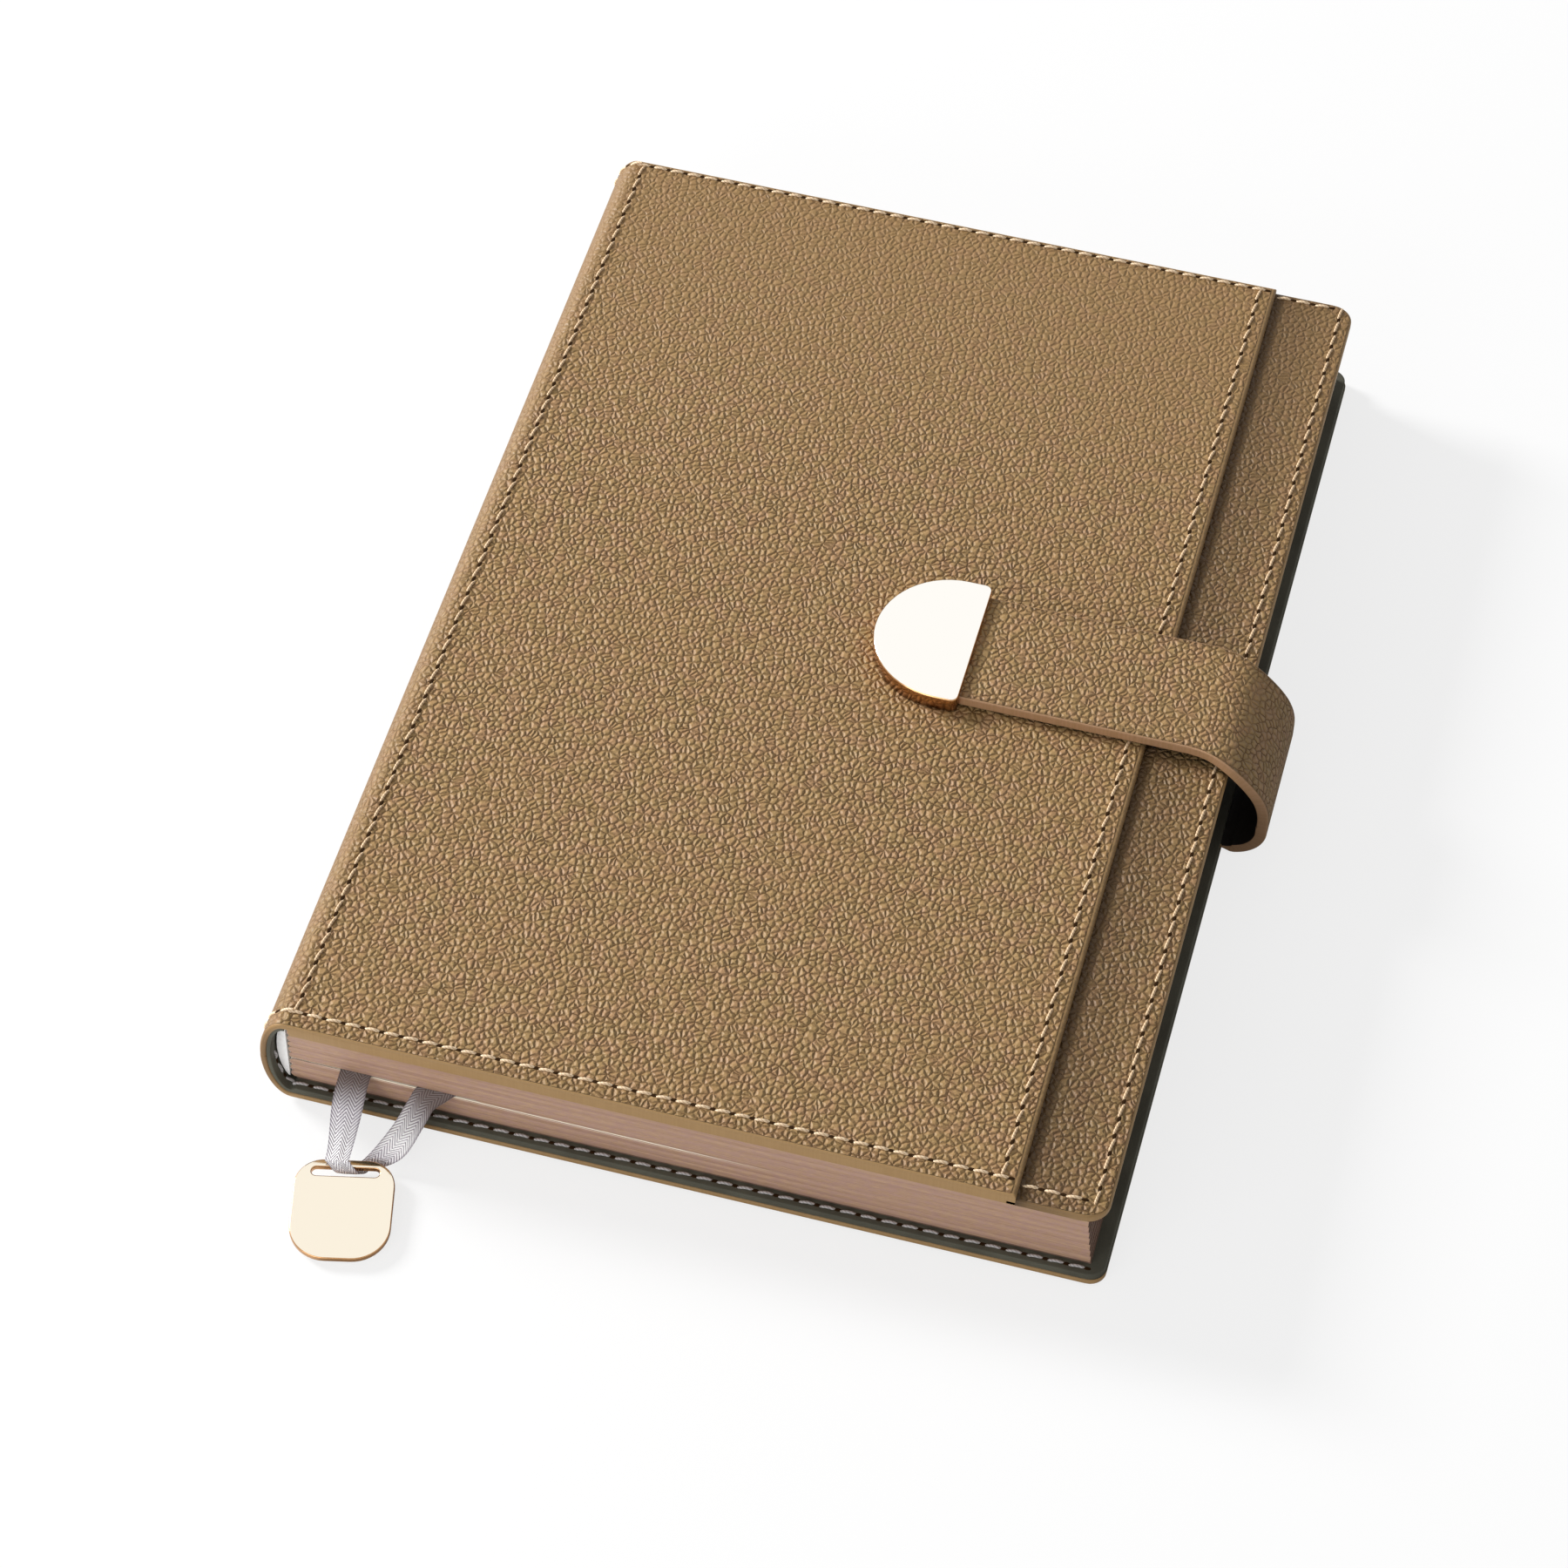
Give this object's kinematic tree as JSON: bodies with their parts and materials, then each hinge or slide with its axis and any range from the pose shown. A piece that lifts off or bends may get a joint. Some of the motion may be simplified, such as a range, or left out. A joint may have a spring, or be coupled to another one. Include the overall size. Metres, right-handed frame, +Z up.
{
  "type": "magnetic closure journal",
  "caption": "Leather journal with a pocket panel, wrap-over strap with a half-round magnetic tip, sewn page block, ribbon marker and slotted metal charm.",
  "frame": {"origin": "on the table, under the middle of the back cover's outer face", "axes": "X from the spine to the fore edge, +Y from the tail to the head, +Z up through the front cover"},
  "size_m": [0.158, 0.2487, 0.0254],
  "materials": {
    "leather": "pebbled tan leather, satin",
    "lining_leather": "smooth dark olive leather",
    "strap_lining": "smooth black leather",
    "board": "grey-brown board",
    "paper": "matte white paper",
    "page_edge": "rose-gold tinted page edges",
    "ribbon": "silver-grey woven satin ribbon",
    "gold_metal": "polished pale gold",
    "steel": "plain nickelled steel"
  },
  "bodies": {
    "journal_back": {"back_leather": "leather", "back_lining": "lining_leather", "back_board": "board", "strap_tab": "leather", "back_endpaper": "paper", "spine_leather": "leather", "spine_lining": "lining_leather", "spine_liner": "paper", "rear_signature_1": "page_edge", "rear_signature_2": "page_edge", "rear_signature_3": "page_edge", "ribbon_inner_left": "ribbon", "ribbon_inner_right": "ribbon", "ribbon_loop": "ribbon"},
    "front_cover": {"front_overlay_leather": "leather", "front_base_leather": "leather", "keeper_plate": "steel", "front_lining": "lining_leather", "front_endpaper": "paper"},
    "pages_low": {"front_signature_1": "page_edge", "front_signature_2": "page_edge"},
    "pages_middle": {"front_signature_3": "page_edge", "front_signature_4": "page_edge"},
    "pages_top": {"front_signature_5": "page_edge", "front_signature_6": "page_edge"},
    "strap_loop": {"strap_loop_leather": "leather", "strap_loop_lining": "strap_lining"},
    "strap_arm": {"strap_arm_leather": "leather", "strap_arm_lining": "strap_lining", "tip_cap": "gold_metal", "tip_plate": "gold_metal", "magnet": "steel"},
    "charm": {"charm": "gold_metal"}
  },
  "joints": [
    {"name": "cover_fold", "type": "hinge", "parent": "journal_back", "child": "front_cover", "pos_m": [-0.07, 0, 0.02162], "axis": [0, -1, 0], "range_deg": [0, 175]},
    {"name": "pages_top_turn", "type": "hinge", "parent": "journal_back", "child": "pages_top", "pos_m": [-0.07, 0, 0.02162], "axis": [0, -1, 0], "range_deg": [0, 171]},
    {"name": "pages_middle_turn", "type": "hinge", "parent": "journal_back", "child": "pages_middle", "pos_m": [-0.07, 0, 0.02162], "axis": [0, -1, 0], "range_deg": [0, 166]},
    {"name": "pages_low_turn", "type": "hinge", "parent": "journal_back", "child": "pages_low", "pos_m": [-0.07, 0, 0.02162], "axis": [0, -1, 0], "range_deg": [0, 161]},
    {"name": "strap_swing", "type": "hinge", "parent": "journal_back", "child": "strap_loop", "pos_m": [0.0755, 0.0001, 0.0003], "axis": [0, 1, 0], "range_deg": [0, 40]},
    {"name": "strap_lift", "type": "hinge", "parent": "strap_loop", "child": "strap_arm", "pos_m": [0.06615, 0.0031, 0.02402], "axis": [0, 1, 0], "range_deg": [0, 150]},
    {"name": "charm_flip", "type": "hinge", "parent": "journal_back", "child": "charm", "pos_m": [-0.05582, -0.12073, 0.00151], "axis": [-0.9744, -0.225, 0], "range_deg": [0, 85]}
  ],
  "couplings": [
    {"joint": "pages_top_turn", "follows": "cover_fold", "ratio": 0.97},
    {"joint": "pages_middle_turn", "follows": "cover_fold", "ratio": 0.94},
    {"joint": "pages_low_turn", "follows": "cover_fold", "ratio": 0.91}
  ]
}
